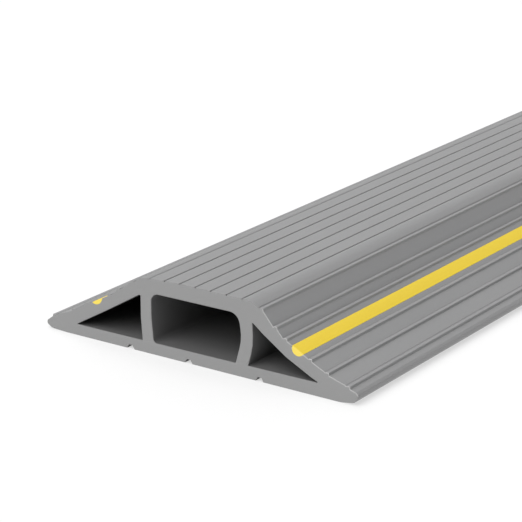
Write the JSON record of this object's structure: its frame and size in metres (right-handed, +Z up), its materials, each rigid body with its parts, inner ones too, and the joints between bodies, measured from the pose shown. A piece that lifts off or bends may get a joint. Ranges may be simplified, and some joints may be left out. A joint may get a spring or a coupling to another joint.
{
  "type": "floor cord cover",
  "caption": "Low ramp-sided strip that lies on a floor, bridges cords in lengthwise channels, and has coloured warning stripes let into its flanks.",
  "frame": {"origin": "on the floor, half way along and half way across the cover", "axes": "+X across the cover, +Y along it, +Z up from the floor"},
  "size_m": [0.082, 2, 0.018],
  "materials": {
    "grey_vinyl": "matt, smooth",
    "yellow_vinyl": "matt, smooth"
  },
  "bodies": {
    "root": {"cover_body": "grey_vinyl", "stripe_left": "yellow_vinyl", "stripe_right": "yellow_vinyl"}
  },
  "joints": []
}
